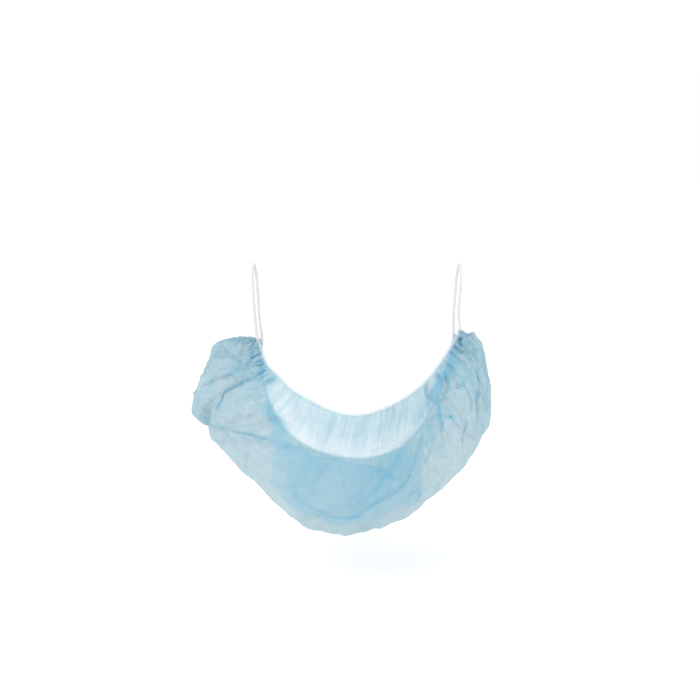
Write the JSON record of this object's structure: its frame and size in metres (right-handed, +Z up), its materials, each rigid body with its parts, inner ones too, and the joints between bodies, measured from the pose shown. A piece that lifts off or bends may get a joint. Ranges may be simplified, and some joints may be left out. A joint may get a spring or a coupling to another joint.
{
  "type": "beard cover",
  "caption": "Disposable nonwoven beard cover: a pouch of thin pleated cloth on elastic edges that hangs under the chin from an ear loop at each end.",
  "frame": {"origin": "midway between the two places where the ear loops rest on top of the ears", "axes": "+X to the right as seen from the front, -Y the way the wearer looks, +Z up"},
  "size_m": [0.2284, 0.1329, 0.1823],
  "materials": {
    "nonwoven": "light-blue spunbond polypropylene, matt and half see-through",
    "hem": "pale gathered edge with elastic thread inside",
    "elastic": "white braided round elastic"
  },
  "bodies": {
    "root": {"pouch": "nonwoven", "front_hem": "hem", "rear_hem": "hem", "ear_loop_left": "elastic", "ear_loop_right": "elastic"}
  },
  "joints": []
}
